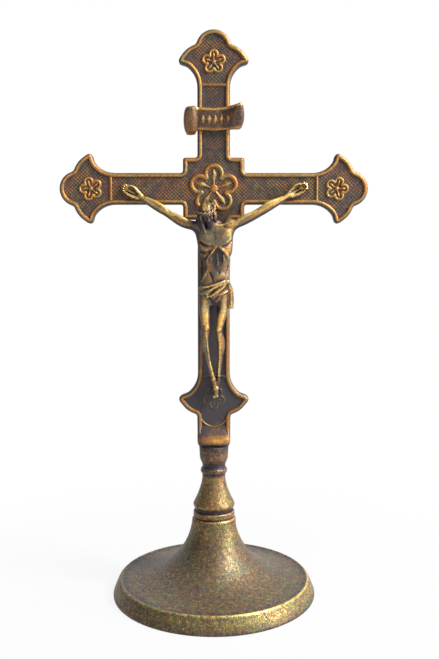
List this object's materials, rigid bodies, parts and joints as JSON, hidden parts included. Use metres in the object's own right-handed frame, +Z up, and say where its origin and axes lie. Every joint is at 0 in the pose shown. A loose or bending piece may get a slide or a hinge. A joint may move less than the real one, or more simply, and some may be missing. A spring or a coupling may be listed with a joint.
{
  "type": "standing crucifix",
  "caption": "Standing table crucifix: cast cross with trefoil ends and relief, separate figure and title scroll, on a turned stem and a flared round foot.",
  "frame": {"origin": "centre of the foot's underside, on the stem's axis", "axes": "+Z up the stem, X along the arms of the cross, -Y the way the figure faces"},
  "size_m": [0.1292, 0.0872, 0.24],
  "materials": {
    "foot_brass": "mottled antique patina, worn bright on the rim",
    "stem_brass": "turned, antique patina in the grooves",
    "cross_brass": "cast, dark patina in the sunk field, worn bright on the border",
    "figure_brass": "cast, worn bright on the high places",
    "scroll_brass": "cast, dark patina in the low places",
    "nail_brass": "dull, dark at the edges",
    "fastener_steel": "plain, dulled with age"
  },
  "bodies": {
    "root": {"foot": "foot_brass", "stem_collar": "stem_brass", "stem_bell": "stem_brass", "stem_cup": "stem_brass", "cross": "cross_brass", "corpus": "figure_brass", "title_scroll": "scroll_brass", "hand_nails": "nail_brass", "foot_nail": "nail_brass", "title_rivets": "nail_brass", "tie_rod": "fastener_steel", "tie_washer": "fastener_steel", "tie_nut": "fastener_steel"}
  },
  "joints": []
}
